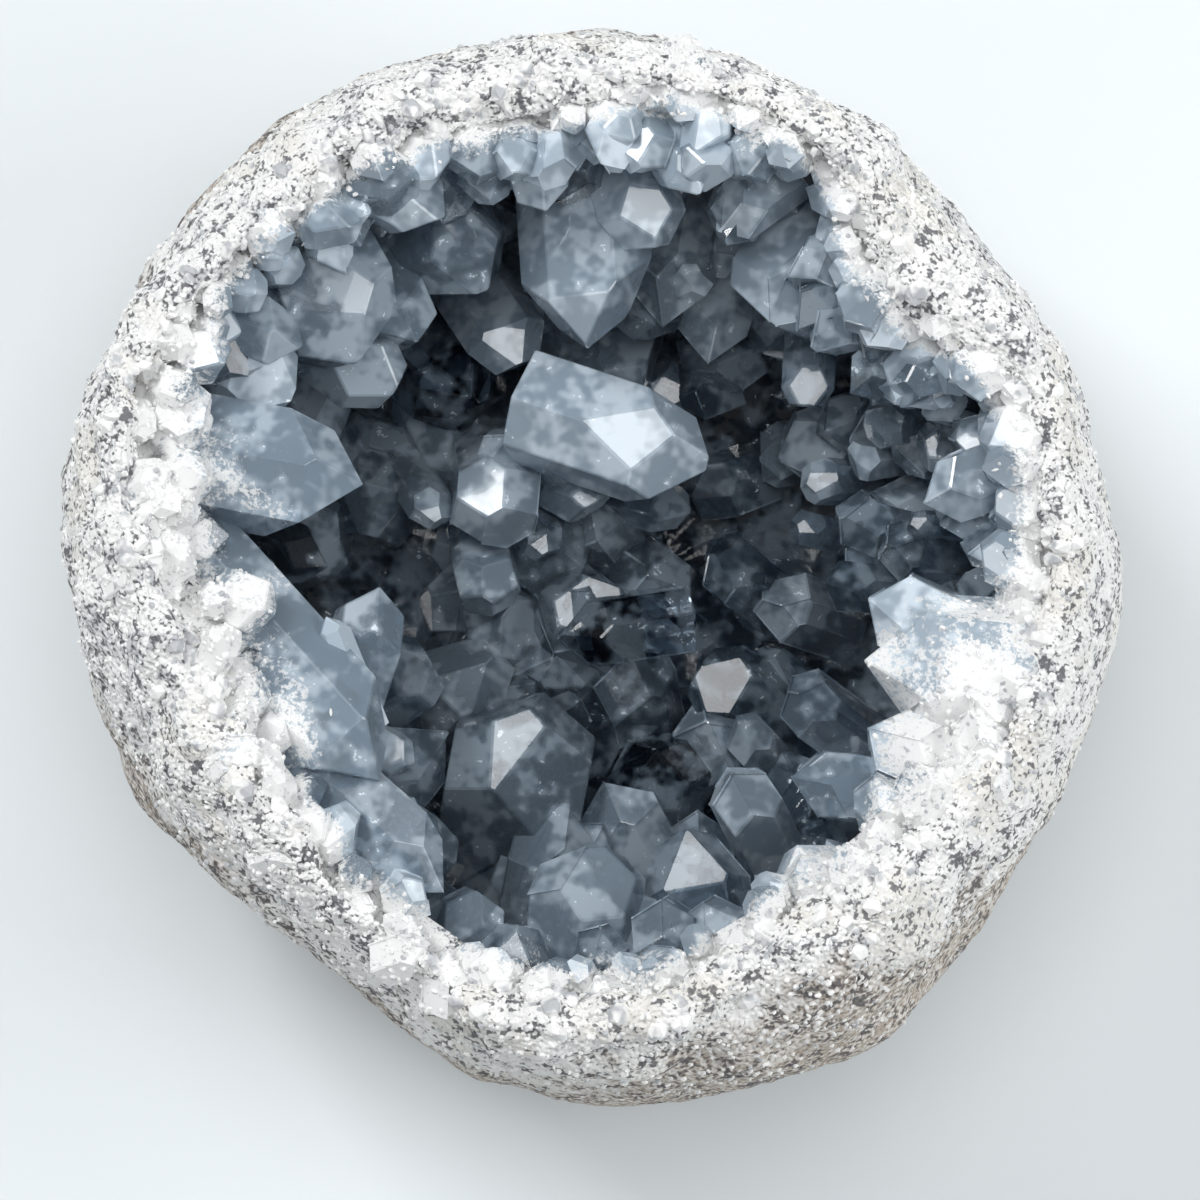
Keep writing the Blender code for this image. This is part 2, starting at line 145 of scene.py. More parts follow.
def inner_point(angle, drop):
    """Radius and height on the inside: drop is 0 at the crest, 1 below the lip, 2 at the widest reach
    of the hollow and 3 at the middle of its bed."""
    mouth = mouth_radius(angle)
    lip = lip_height(angle)
    if drop <= 1:
        turn = drop * math.pi / 2
        radius = mouth + (crest_radius(angle) - mouth) * (1 - math.sin(turn))
        return radius, lip + LIP_DROP * math.cos(turn)
    wide = hollow_radius(angle)
    if drop <= 2:
        t = drop - 1
        ease = t * t * (3 - 2 * t)
        return mouth + (wide - mouth) * ease, lip + (HOLLOW_HEIGHT - lip) * t
    turn = (drop - 2) * math.pi / 2
    return wide * math.cos(turn), HOLLOW_HEIGHT - (HOLLOW_HEIGHT - BED_HEIGHT) * math.sin(turn)


def at(angle, radius, height):
    return Vector((radius * math.cos(angle), radius * math.sin(angle), height))


def roughened(point, amount):
    """The point moved in or out from the middle of the stone by broad lumps and smaller pits."""
    centre = Vector((0, 0, BELLY_HEIGHT))
    lump = noise.noise(point / LUMP_LENGTH + LUMP_PLACE)
    pit = noise.noise(point / PIT_LENGTH + PIT_PLACE)
    return point + (point - centre).normalized() * amount * (LUMP_DEPTH * lump + PIT_DEPTH * pit)


print("the mouth is", round(2 * mouth_radius(0)), "mm across from left to right")

# %% [markdown]
# ## Sums of sockets
# A material or a Geometry Nodes tree is full of small sums. Wired by hand they are hard to read, so
# one small class wraps a socket and lets Python's own signs add the Math nodes. A second class wraps a
# tree, and its add method makes any other node: settings first, then values or links by socket.

# %% A notation for node trees
class Flow:
    """The value of one socket in a tree."""

    def __init__(self, tree, socket):
        self.tree = tree
        self.socket = socket

    def sum(self, operation, first, second, clamp=False):
        node = self.tree.nodes.new("ShaderNodeMath")
        node.operation = operation
        node.use_clamp = clamp
        join(self.tree, node.inputs[0], first)
        join(self.tree, node.inputs[1], second)
        return Flow(self.tree, node.outputs[0])

    def __add__(self, other):
        return self.sum("ADD", self, other)

    def __sub__(self, other):
        return self.sum("SUBTRACT", self, other)

    def __rsub__(self, other):
        return self.sum("SUBTRACT", other, self)

    def __mul__(self, other):
        return self.sum("MULTIPLY", self, other)

    def __truediv__(self, other):
        return self.sum("DIVIDE", self, other)

    def __rtruediv__(self, other):
        return self.sum("DIVIDE", other, self)

    __radd__ = __add__
    __rmul__ = __mul__

    def clamped(self):
        return self.sum("ADD", self, 0.0, clamp=True)

    def stepped(self, low, high):
        """0 below low, 1 above high and a smooth rise between them."""
        t = self.sum("DIVIDE", self - low, high - low, clamp=True)
        return t * t * (3 - 2 * t)


def join(tree, socket, value):
    if isinstance(value, Flow):
        tree.links.new(value.socket, socket)
    elif value is not None:
        socket.default_value = value


class Board:
    """A node tree that is being built."""

    def __init__(self, tree):
        self.tree = tree

    def add(self, kind, settings=None, sockets=None, out=0):
        node = self.tree.nodes.new(kind)
        for name, value in (settings or {}).items():
            setattr(node, name, value)
        for name, value in (sockets or {}).items():
            join(self.tree, node.inputs[name], value)
        return Flow(self.tree, node.outputs[out]) if node.outputs else None

    def noise(self, place, length, detail, roughness=0.5):
        """Noise whose features are about a length in millimetres apart, from 0 to 1."""
        sockets = {"Vector": place, "Scale": 1 / (length * MM), "Detail": detail}
        return self.add("ShaderNodeTexNoise", None, sockets | {"Roughness": roughness})

    def blend(self, factor, first, second):
        settings = {"data_type": "RGBA", "clamp_factor": True}
        return self.add("ShaderNodeMix", settings, {0: factor, 6: first, 7: second}, out=2)

    def surface(self, **sockets):
        named = {name.replace("_", " "): value for name, value in sockets.items()}
        return self.add("ShaderNodeBsdfPrincipled", None, named)

    def bump(self, height, strength, distance):
        sockets = {"Height": height, "Strength": strength, "Distance": distance * MM}
        return self.add("ShaderNodeBump", None, sockets)


def new_material(name):
    material = bpy.data.materials.new(name)
    material.use_nodes = True
    material.node_tree.nodes.clear()
    return material, Board(material.node_tree)


def finish_material(board, surface, volume=None):
    board.add("ShaderNodeOutputMaterial", None, {"Surface": surface, "Volume": volume})


def attribute(board, name):
    return board.add("ShaderNodeAttribute", {"attribute_name": name}, out=2)


print("node notation ready")

# %% [markdown]
# ## The stone
# The shell of such a geode is chalky and nearly white where it was broken. It is full of small pits,
# which are painted darker as painted shade, it is grey in patches and stained tan by soil low on the
# outside. A photo wrapped around it would smear, so the colour is made of noise of three sizes:
# patches, clumps and specks, and dark specks come from them too. It also reads three numbers that the
# mesh carries: how bare the stone is, how low a point lies on it and how deep in a pit. Inside the
# hollow, behind the crystals, the stone is painted near black: painted shade for the dark deep in the
# hollow, which shows through the clear crystals.

# %% Stone material
CHALK = (0.90, 0.90, 0.89, 1)
CREAM = (0.76, 0.71, 0.62, 1)
FROSTED = (0.40, 0.42, 0.45, 1)
# dark colour for painted shade in the pits and for dark specks spread by noise
PIT_SHADE_AND_FLECK = (0.14, 0.14, 0.15, 1)
SOIL = (0.33, 0.25, 0.17, 1)
# near black for painted shade on the stone inside the hollow, behind the crystals
HOLLOW_SHADE = (0.030, 0.040, 0.055, 1)
PATCH_LENGTH = 15
CLUMP_LENGTH = 4.5
SPECK_LENGTH = 1.0
SOIL_LINE = 0.34
CHALK_LENGTH = 0.8
CHALK_DEPTH = 0.7
GREY_LENGTH = 5


def stone_material():
    material, board = new_material("stone")
    place = board.add("ShaderNodeTexCoord", out=3)
    bare = attribute(board, "bare")
    pit = attribute(board, "pit")
    low = attribute(board, "low")
    patches = board.noise(place, PATCH_LENGTH, 1, 0.6)
    clumps = board.noise(place, CLUMP_LENGTH, 2, 0.65)
    specks = board.noise(place, SPECK_LENGTH, 1, 0.65)
    stain = (patches * 0.5 + clumps * 0.5 - 0.5 + (low - SOIL_LINE)).stepped(0.0, 0.2)
    colour = board.blend((1 - patches).stepped(0.50, 0.66) * 0.35, CHALK, CREAM)
    frost = clumps + (specks - 0.5) * 0.5 + (patches - 0.5) * 0.6
    colour = board.blend(frost.stepped(0.54, 0.70) * 0.7, colour, FROSTED)
    colour = board.blend(stain * (specks.stepped(0.36, 0.56) * 0.5 + 0.25), colour, SOIL)
    # dark specks spread by noise, and painted shade: the deeper a point lies in a pit, the darker it is
    # painted
    dark = (specks + clumps * 0.8).stepped(0.94, 1.06)
    colour = board.blend((dark + pit * specks.stepped(0.38, 0.60)).clamped() * 0.85, colour, PIT_SHADE_AND_FLECK)
    # painted shade: the stone inside the hollow, where bare falls to 0, is painted near black
    colour = board.blend(bare.stepped(0.25, 0.75), HOLLOW_SHADE, colour)
    normal = board.bump(board.noise(place, CHALK_LENGTH, 0), 1.0, CHALK_DEPTH)
    surface = board.surface(Base_Color=colour, Roughness=0.92, Specular_IOR_Level=0.0, Normal=normal)
    finish_material(board, surface)
    return material


def grain_material():
    """Loose grains of the same stone, some of them grey and half clear."""
    material, board = new_material("stone_grain")
    place = board.add("ShaderNodeTexCoord", out=3)
    grey = board.noise(place, GREY_LENGTH, 2, 0.7).stepped(0.50, 0.62)
    colour = board.blend(grey * 0.8, CHALK, FROSTED)
    finish_material(board, board.surface(Base_Color=colour, Roughness=0.45))
    return material


stone = stone_material()
print("materials:", stone.name)

# %% [markdown]
# ## Celestite
# Celestite is clear, grey-blue and heavy. It bends light strongly, which gives the flat faces their
# gloss, and its colour shows only through some thickness, so it is made as absorption inside a clear
# body. Many crystals are milky, with white veils and seeds inside, and where they root in the rim the
# stone's white powder covers them. Both could be modelled, but they have no form of their own, so they
# are masks that mix the clear body with an opaque one.

# %% Celestite material
CLEAR = (0.86, 0.91, 0.95, 1)
ABSORBED = (0.34, 0.54, 0.76, 1)
ABSORPTION = 22
CLEAR_TRANSMISSION = 1.0
CELESTITE_IOR = 1.62
MILKY_BLUE = (0.21, 0.32, 0.43, 1)
MILKY_WHITE = (0.73, 0.81, 0.88, 1)
VEIL_TURN = (0.5, 0.9, 0.3)
VEIL_STRETCH = (1.0, 1.0, 0.25)
VEIL_LENGTH = 9
STREAK_LENGTH = 3.0
SEED_LENGTH = 1.3


def celestite_material():
    material, board = new_material("celestite")
    place = board.add("ShaderNodeTexCoord", out=3)
    cloud = attribute(board, "cloud")
    powder = attribute(board, "powder")
    broad = board.noise(place, VEIL_LENGTH, 0)
    slanted = {"Vector": place, "Rotation": VEIL_TURN, "Scale": VEIL_STRETCH}
    streaks = board.noise(board.add("ShaderNodeMapping", None, slanted), STREAK_LENGTH, 1, 0.7)
    fine = board.noise(place, SEED_LENGTH, 2, 0.8)
    veil = (broad * 0.5 + streaks * 0.5).stepped(0.42, 0.60)
    seeds = (fine + (streaks - 0.5) * 0.8).stepped(0.74, 0.82)
    milk = (cloud + (veil - 0.5) * 0.30 + seeds * 0.4).clamped()
    clear = board.surface(
        Base_Color=CLEAR,
        Roughness=0.0,
        IOR=CELESTITE_IOR,
        Transmission_Weight=CLEAR_TRANSMISSION,
    )
    milky_colour = board.blend(cloud * 0.55 + veil * 0.26 + seeds * 0.4, MILKY_BLUE, MILKY_WHITE)
    milky = board.surface(Base_Color=milky_colour, Roughness=0.11, IOR=CELESTITE_IOR)
    powdered = (powder + (broad - 0.5) * 0.8 + (fine - 0.5) * 1.1).stepped(0.40, 0.68) * 0.92
    chalk_colour = board.blend(fine.stepped(0.54, 0.74) * 0.5, CHALK, FROSTED)
    chalk = board.surface(Base_Color=chalk_colour, Roughness=0.9, Specular_IOR_Level=0.0)
    body = board.add("ShaderNodeMixShader", None, {0: milk, 1: clear, 2: milky})
    dressed = board.add("ShaderNodeMixShader", None, {0: powdered, 1: body, 2: chalk})
    absorption = {"Color": ABSORBED, "Density": ABSORPTION}
    finish_material(board, dressed, board.add("ShaderNodeVolumeAbsorption", None, absorption))
    return material


celestite = celestite_material()
print("materials:", celestite.name)

# %% [markdown]
# ## Making a mesh from rings
# The shell is a stack of closed rings, from the flat spot up the outside, over the rim and down into
# the hollow. This is the same loft as in the solid model with many more rings, so that grains of a
# millimetre or two can be real bumps. Three numbers are kept for each point. bare is 1 on open stone
# and 0 inside the hollow. rim is 1 on the broken lip. low falls from 1 near the ground to 0 at the rim,
# and SOILED moves it, in hundredths, where the soil stands higher or lower on that side of the stone.

# %% The shell as fine rings
SEGMENTS = 400
LOWER_RINGS = 34
UPPER_RINGS = 54
LIP_RINGS = 30
WALL_RINGS = 12
BED_RINGS = 16
SOILED = (-4, -8, -6, 0, 4, 14, 12, 10, 4, 0, 6, 14, 8, 10, 26, 30, 14, 0)
BARE_END = 1.05
RIM_END = 1.33
FADE = 3


def angles(count):
    return [2 * math.pi * i / count for i in range(count)]


def lofted(rings, first_pole=None, last_pole=None):
    """A mesh through closed rings of points, closed at either end by a fan to a pole or by one face."""
    bm = bmesh.new()
    rows = [[bm.verts.new(p) for p in ring] for ring in rings]
    count = len(rows[0])
    for low, high in zip(rows, rows[1:]):
        for i in range(count):
            j = (i + 1) % count
            bm.faces.new((low[i], low[j], high[j], high[i]))
    for row, pole, turned in ((rows[0], first_pole, True), (rows[-1], last_pole, False)):
        if pole is None:
            bm.faces.new(row[::-1] if turned else row)
            continue
        tip = bm.verts.new(pole)
        for i in range(count):
            j = (i + 1) % count
            bm.faces.new((row[j], row[i], tip) if turned else (row[i], row[j], tip))
    return bm


def new_object(name, bm):
    """An object in world metres from a mesh in the millimetres of the lists."""
    bm.transform(Matrix.Scale(MM, 4) @ Matrix.Translation(SHIFT))
    mesh = bpy.data.meshes.new(name)
    bm.to_mesh(mesh)
    bm.free()
    obj = bpy.data.objects.new(name, mesh)
    bpy.context.scene.collection.objects.link(obj)
    return obj


def shell_rows():
    """For each ring: its points, how bare they are, how low, and how near the broken lip."""
    rows = []
    for i in range(LOWER_RINGS + UPPER_RINGS + 1):
        rise = i / LOWER_RINGS if i <= LOWER_RINGS else 1 + (i - LOWER_RINGS) / UPPER_RINGS
        amount = min(1, 2 * rise)
        ring = [roughened(at(a, *outer_point(a, rise)), amount) for a in angles(SEGMENTS)]
        soiled = [1 - rise / 2 + around(SOILED, a) / 100 for a in angles(SEGMENTS)]
        rows.append((ring, min(1, 4 * rise), soiled, max(0, rise - 1)))
    drops = [i / LIP_RINGS for i in range(1, LIP_RINGS + 1)]
    drops += [1 + i / WALL_RINGS for i in range(1, WALL_RINGS + 1)]
    drops += [2 + i / BED_RINGS for i in range(1, BED_RINGS)]
    for drop in drops:
        amount = max(0, 1 - drop)
        ring = [roughened(at(a, *inner_point(a, drop)), amount) for a in angles(SEGMENTS)]
        bare = clamped(1 + FADE * (BARE_END - drop))
        rows.append((ring, bare, [0] * SEGMENTS, clamped(FADE * (RIM_END - drop))))
    return rows


def shell():
    rows = shell_rows()
    bm = lofted([row[0] for row in rows], last_pole=Vector((0, 0, BED_HEIGHT)))
    obj = new_object("rough_shell", bm)
    values = {
        "bare": [row[1] for row in rows for _ in range(SEGMENTS)],
        "low": [value for row in rows for value in row[2]],
        "rim": [row[3] for row in rows for _ in range(SEGMENTS)],
    }
    for name, numbers in values.items():
        obj.data.attributes.new(name, "FLOAT", "POINT").data.foreach_set("value", numbers + [0])
    return obj


smooth_shell = shell()
print("fine shell:", len(smooth_shell.data.vertices), "points")

# %% [markdown]
# ## Grains and pits
# A weathered, chalky stone is rough at every size. Bump alone would leave its outline smooth, so
# Geometry Nodes move each point along its normal by three patterns: lumps of a centimetre, packed
# grains, and pits where weak grains fell out. The tree also stores how deep each point lies in a pit,
# and the stone's colour reads that to paint shade into the pits.

# %% A tree that weathers a surface
def new_tree(name, numbers, finish):
    """A tree that takes geometry, some numbers and one material, and gives geometry."""
    tree = bpy.data.node_groups.new(name, "GeometryNodeTree")
    tree.interface.new_socket("Geometry", in_out="OUTPUT", socket_type="NodeSocketGeometry")
    kinds = {"Geometry": "Geometry", **dict.fromkeys(numbers, "Float"), finish: "Material"}
    for label, kind in kinds.items():
        tree.interface.new_socket(label, in_out="INPUT", socket_type="NodeSocket" + kind)
    board = Board(tree)
    source = tree.nodes.new("NodeGroupInput")
    return tree, board, {s.name: Flow(tree, s) for s in source.outputs if s.name}


def named(board, name):
    return board.add("GeometryNodeInputNamedAttribute", {"data_type": "FLOAT"}, {"Name": name})


def weathering_tree():
    lengths = ("Lump length", "Grain length", "Pit length")
    depths = ("Lump depth", "Grain depth", "Pit depth")
    tree, board, given = new_tree("weathered", lengths + depths, "Stone")
    place = board.add("GeometryNodeInputPosition")
    bare = named(board, "bare")
    rim = named(board, "rim")

    def pattern(kind, length, **sockets):
        placed = {"Vector": place, "Scale": 1 / given[length]}
        return board.add("ShaderNodeTex" + kind, None, placed | sockets)

    lumps = pattern("Noise", "Lump length", Detail=5.0, Roughness=0.62) - 0.5
    lumps = lumps + (0.45 - pattern("Voronoi", "Lump length")) * rim
    grains = 0.5 - pattern("Voronoi", "Grain length")
    fine = pattern("Noise", "Grain length", Detail=4.0, Roughness=0.7) - 0.5
    pits = pattern("Noise", "Pit length", Detail=3.0, Roughness=0.6).stepped(0.56, 0.70)
    depth = given["Lump depth"] * lumps * (0.5 + rim)
    depth = depth + given["Grain depth"] * (grains + fine * 1.5) * (0.4 + rim)
    depth = (depth - given["Pit depth"] * pits) * bare
    normal = board.add("GeometryNodeInputNormal")
    offset = board.add("ShaderNodeVectorMath", {"operation": "SCALE"}, {0: normal, "Scale": depth})
    move = {"Geometry": given["Geometry"], "Offset": offset}
    moved = board.add("GeometryNodeSetPosition", None, move)
    # the pit depth is kept for the stone's colour, which paints shade into the pits
    kept = board.add(
        "GeometryNodeStoreNamedAttribute",
        {"data_type": "FLOAT", "domain": "POINT"},
        {"Geometry": moved, "Name": "pit", "Value": pits},
    )
    made = board.add("GeometryNodeSetMaterial", None, {"Geometry": kept, "Material": given["Stone"]})
    board.add("NodeGroupOutput", None, {"Geometry": made})
    return tree


def run_tree(source, tree, name, inputs):
    """Runs a Geometry Nodes tree on an object and gives the result as a plain object of its own."""
    modifier = source.modifiers.new("nodes", "NODES")
    modifier.node_group = tree
    for item in tree.interface.items_tree:
        if item.in_out == "INPUT" and item.name in inputs:
            modifier[item.identifier] = inputs[item.name]
    source.update_tag()
    depsgraph = bpy.context.evaluated_depsgraph_get()
    mesh = bpy.data.meshes.new_from_object(source.evaluated_get(depsgraph))
    source.modifiers.remove(modifier)
    made = bpy.data.objects.new(name, mesh)
    bpy.context.scene.collection.objects.link(made)
    return made


weathering = weathering_tree()
print("weathering:", len(weathering.nodes), "nodes")

# %% [markdown]
# ## The rough rind
# A real rind has lumps of about a centimetre, and grains and pits of a few millimetres. The smooth
# shell runs through the tree once, and the result is kept as a plain mesh, because other programs can
# read that and know nothing of nodes.

# %% The stone shell
WEATHERING = {
    "Lump length": 9 * MM,
    "Grain length": 2.6 * MM,
    "Pit length": 4.5 * MM,
    "Lump depth": 3.0 * MM,
    "Grain depth": 0.9 * MM,
    "Pit depth": 1.0 * MM,
    "Stone": stone,
}
rind = run_tree(smooth_shell, weathering, "rough_rind", WEATHERING)
bpy.data.objects.remove(smooth_shell)
rind.data.shade_smooth()


def triangles(obj):
    return sum(len(face.vertices) - 2 for face in obj.data.polygons)


print("rind:", triangles(rind), "triangles")

# %% [markdown]
# ## The large crystals
# A celestite crystal is a flattened six-sided prism that ends in four slanting faces. Each one here is
# a block cut by planes, placed by its tip, its bearing and its pitch, and it runs back into the wall
# of the hollow. A rule could place them all, but the large ones carry the look of the piece, so lists
# give them one by one. The lists up to MIDDLE are those of the solid model. RIM adds short crystals
# that stand in the broken lip.

# %% What a crystal is
class Crystal(NamedTuple):
    """Tip, width and thickness in millimetres. The crystal points along bearing, turned left from +X,
    and rises by pitch; roll turns it about its own length. facet is the width of a face that lies
    nearly level across its top. A length of 0 means that it runs back into the wall behind it."""

    name: str
    x: float
    y: float
    z: float
    width: float
    thickness: float
    bearing: float
    pitch: float
    roll: float
    facet: float = 0
    length: float = 0


print("a crystal has", len(Crystal._fields) - 1, "numbers")

# %% Large crystals at the top of the mouth
TOP = (
    Crystal("upper_left_prow", -37, 31, 96, 26, 19, -62, 22, 20, 9),
    Crystal("upper_left_block", -23, 55, 104, 16, 13, -30, 20, 35),
    Crystal("top_pale_stub", -16, 57, 104, 12, 10, -80, 30, 10),
    Crystal("top_speckled", -7, 55, 107, 13, 11, -80, 25, 50),
    Crystal("top_diamond", 1, 33, 92, 24, 14, -86, 15, 8),
    Crystal("top_lilac", 11, 50, 100, 16, 13, -75, 32, -10, 7),
    Crystal("top_right_plate", 19, 58, 108, 11, 7, -60, 20, 30, 4),
    Crystal("top_right_blue", 26, 60, 104, 14, 11, -100, 25, 0),
    Crystal("top_right_green", 23, 52, 98, 13, 10, -110, 35, 25),
    Crystal("top_small_pale", 2, 64, 108, 9, 8, -85, 40, 20),
    Crystal("upper_dark_wedge", -24, 63, 106, 12, 9, -60, 40, 0),
    Crystal("upper_rim_cluster", -21, 70, 108, 11, 9, -80, 35, 30),
    Crystal("right_shoulder_dark", 30, 37, 92, 24, 18, -115, 28, -20),
    Crystal("right_rim_grey", 39, 55, 108, 11, 9, -120, 40, 15),
    Crystal("inner_left_grey", -32, 28, 85, 18, 14, -40, 30, 10),
    Crystal("inner_left_blue", -28, 35, 90, 15, 12, -60, 35, 30),
    Crystal("inner_upper_blue", -17, 43, 90, 21, 15, -60, 30, -15),
    Crystal("inner_top_lilac", -11, 35, 74, 16, 9, -60, 50, -10, 5),
    Crystal("deep_top_a", 11, 41, 72, 14, 10, -90, 60, 20),
    Crystal("deep_top_b", 22, 35, 58, 18, 14, -110, 62, 0),
    Crystal("deep_top_fin", 17, 47, 78, 9, 7, -100, 60, 10),
)
print(len(TOP), "at the top")

# %% On the right
RIGHT = (
    Crystal("fibrous", 51, 23, 100, 19, 12, -115, 30, 10),
    Crystal("right_striped", 37, 26, 84, 10, 8, -95, 45, 0, 5),
    Crystal("right_splinter", 59, 24, 98, 5, 4, -95, 40, 0),
    Crystal("right_blue", 61, 18, 96, 12, 10, 200, 40, 30),
    Crystal("right_wall_grey", 65, 6, 101, 17, 11, 190, 35, 15),
    Crystal("right_hexagon", 49, 23, 82, 9, 7, 200, 70, 30, 4),
    Crystal("right_trapezoid", 57, 19, 86, 11, 9, 195, 65, 0, 5),
    Crystal("right_slab", 38, 15, 72, 9, 8, 190, 65, 50, 4),
    Crystal("right_chip", 36, 8, 62, 8, 7, 180, 65, 20, 3),
    Crystal("right_comb_a", 43, 8, 78, 13, 10, 175, 55, 15),
    Crystal("right_comb_b", 50, 3, 84, 12, 9, 175, 55, -15),
    Crystal("right_comb_c", 59, 9, 90, 7, 6, 180, 60, 40, 3),
    Crystal("right_comb_d", 54, 6, 89, 6, 5, 185, 60, -30, 3),
    Crystal("right_low_stub", 40, -3, 78, 12, 9, 180, 50, 30),
    Crystal("tongue_upper", 46, -8, 104, 17, 14, 160, 30, 25),
    Crystal("tongue_middle", 42, -18, 103, 26, 17, 178, 14, 8, 8),
    Crystal("tongue_lower", 45, -28, 103, 17, 15, 150, 30, -30),
    Crystal("right_notch", 68, -24, 103, 10, 8, 160, 68, 25),
    Crystal("deep_right_a", 21, 4, 60, 14, 11, 150, 60, 25),
    Crystal("deep_right_b", 31, -4, 56, 14, 11, 170, 60, -10),
    Crystal("deep_right_green", 18, -15, 56, 17, 10, 150, 40, 0, 4),
    Crystal("deep_right_c", 25, -26, 64, 11, 9, 140, 60, 30),
    Crystal("deep_right_fin", 45, 18, 74, 8, 6, 200, 60, 0),
)
print(len(RIGHT), "on the right")

# %% At the bottom
BOTTOM = (
    Crystal("lower_right_grey", 63, -36, 104, 15, 10, 150, 55, 0),
    Crystal("lower_right_blue", 46, -36, 94, 18, 12, 150, 40, 20),
    Crystal("lower_right_sparkle", 33, -37, 93, 15, 12, 172, 12, 40),
    Crystal("lower_right_green", 53, -47, 100, 9, 8, 130, 50, 10),
    Crystal("lower_right_pale", 35, -48, 106, 17, 12, 110, 35, -15, 5),
    Crystal("lower_square", 24, -36, 84, 14, 12, 120, 55, 45),
    Crystal("lower_inner_right", 34, -21, 75, 13, 11, 150, 55, 15),
    Crystal("bottom_right_slab", 16, -45, 90, 21, 12, 100, 35, 0),
    Crystal("bottom_right_frosted", 19, -57, 102, 14, 11, 110, 45, 20),
    Crystal("bottom_main", 1, -46, 96, 22, 17, 85, 32, 20),
    Crystal("bottom_left_stub", -18, -55, 100, 14, 12, 75, 45, -25),
    Crystal("lower_left_blade", -22, -58, 103, 17, 13, -42, 12, 20),
    Crystal("lower_left_deep", -25, -43, 84, 16, 12, 50, 50, 0),
    Crystal("lower_left_chip", -31, -40, 88, 9, 7, 60, 60, 30, 4),
    Crystal("lower_great", -10, -22, 78, 32, 28, 78, 58, 40, 10),
    Crystal("deep_lower", 11, -29, 58, 21, 16, 110, 60, -20),
    Crystal("bottom_crusted", 2, -62, 106, 10, 8, 90, 50, 20),
    Crystal("bottom_left_frosted", -11, -61, 105, 15, 12, 80, 45, 0),
    Crystal("bottom_right_low", 12, -57, 103, 14, 11, 100, 45, 30),
)
print(len(BOTTOM), "at the bottom")

# %% On the left
LEFT = (
    Crystal("lower_left_great", -33, -39, 103, 24, 16, -48, 12, 5),
    Crystal("left_low_pale", -34, -4, 93, 16, 13, 70, 30, -20),
    Crystal("left_low_fin", -44, -10, 101, 7, 5, 112, 20, 0, 0, 22),
    Crystal("left_rim_stub", -54, -17, 106, 10, 9, 10, 50, 30),
    Crystal("left_rim_dark", -53, -9, 100, 11, 9, 0, 55, 0),
    Crystal("left_great", -35, 10, 103, 25, 16, -12, 14, 25),
    Crystal("left_rim_hexagon", -63, 18, 110, 14, 10, -20, 50, 5),
    Crystal("left_pale_block", -48, 26, 100, 18, 11, -30, 32, 10, 5),
    Crystal("left_upper_grey", -60, 40, 100, 12, 9, -30, 55, 40),
    Crystal("left_upper_chip", -54, 46, 96, 6, 5, -30, 65, 20, 3),
    Crystal("left_upper_wedge", -48, 49, 102, 11, 9, -50, 55, 0),
    Crystal("left_column", -66, 28, 104, 7, 6, -20, 45, 15, 3),
    Crystal("left_inner_clear", -26, -15, 72, 15, 11, 30, 50, 0),
    Crystal("left_inner_triangle", -32, -29, 74, 11, 9, 40, 55, 30, 4),
    Crystal("deep_left", -30, 14, 57, 20, 16, -10, 60, 35),
)
print(len(LEFT), "on the left")

# %% In the middle
MIDDLE = (
    Crystal("deep_dome", -19, 30, 61, 22, 14, -50, 55, 0),
    Crystal("great_lying", 22, 16, 80, 24, 18, -20, 14, 30, 9, 36),
    Crystal("inner_bead", -14, 23, 73, 11, 9, 90, 75, 15),
    Crystal("inner_round", -4, 21, 76, 10, 9, 60, 75, 30),
    Crystal("centre_arrow", 0, 11, 70, 16, 12, -60, 60, 0, 6),
    Crystal("centre_cloud", -15, 8, 78, 19, 16, -80, 68, 20),
    Crystal("centre_left_prism", -26, 9, 68, 9, 7, -60, 60, 0, 3),
    Crystal("centre_glassy", -17, -6, 71, 14, 12, -80, 60, 45),
    Crystal("centre_sliver", -7, 3, 67, 9, 7, -70, 60, 10, 3),
    Crystal("centre_lilac", 3, 1, 60, 21, 14, 70, 50, 0, 9),
    Crystal("centre_black", -6, -11, 60, 15, 12, 190, 18, 25, 0, 24),
    Crystal("centre_plates", 18, 11, 58, 12, 7, -20, 40, 0),
)
print(len(MIDDLE), "in the middle")

# %% In the broken lip
RIM = (
    Crystal("rim_right_pale", 61, 27, 110, 12, 9, 215, 48, 30, 0, 12),
    Crystal("rim_right_upper", 65, 17, 109, 14, 9, 200, 45, 20, 5, 12),
    Crystal("rim_right_slab", 66, 8, 108, 14, 8, 185, 45, -10, 5, 12),
    Crystal("rim_right_lower", 65, -1, 107, 12, 8, 175, 48, 15, 4, 11),
    Crystal("rim_notch_upper", 62, -23, 107, 13, 9, 155, 48, 10, 4, 12),
    Crystal("rim_notch_middle", 60, -31, 108, 14, 9, 150, 46, -15, 5, 12),
    Crystal("rim_notch_lower", 56, -37, 110, 13, 9, 140, 46, 25, 0, 12),
    Crystal("rim_top_small", 9, 63, 113, 11, 8, -95, 50, 20, 0, 11),
    Crystal("rim_top_grey", 18, 65, 114, 12, 9, -110, 48, -20, 4, 12),
    Crystal("rim_top_dark", 26, 61, 113, 13, 9, -105, 48, 10, 0, 12),
    Crystal("rim_upper_left", -25, 61, 113, 12, 8, -65, 48, 35, 0, 12),
    Crystal("rim_left_grey", -62, 21, 112, 13, 9, -20, 46, 15, 4, 12),
    Crystal("rim_left_striped", -60, 30, 111, 12, 8, -28, 48, 0, 0, 12),
    Crystal("rim_left_low", -62, 11, 112, 11, 8, -8, 48, 30, 0, 11),
    Crystal("rim_low_left", -43, -43, 112, 11, 8, 45, 48, 10, 0, 11),
)
large = (*TOP, *RIGHT, *BOTTOM, *LEFT, *MIDDLE, *RIM)
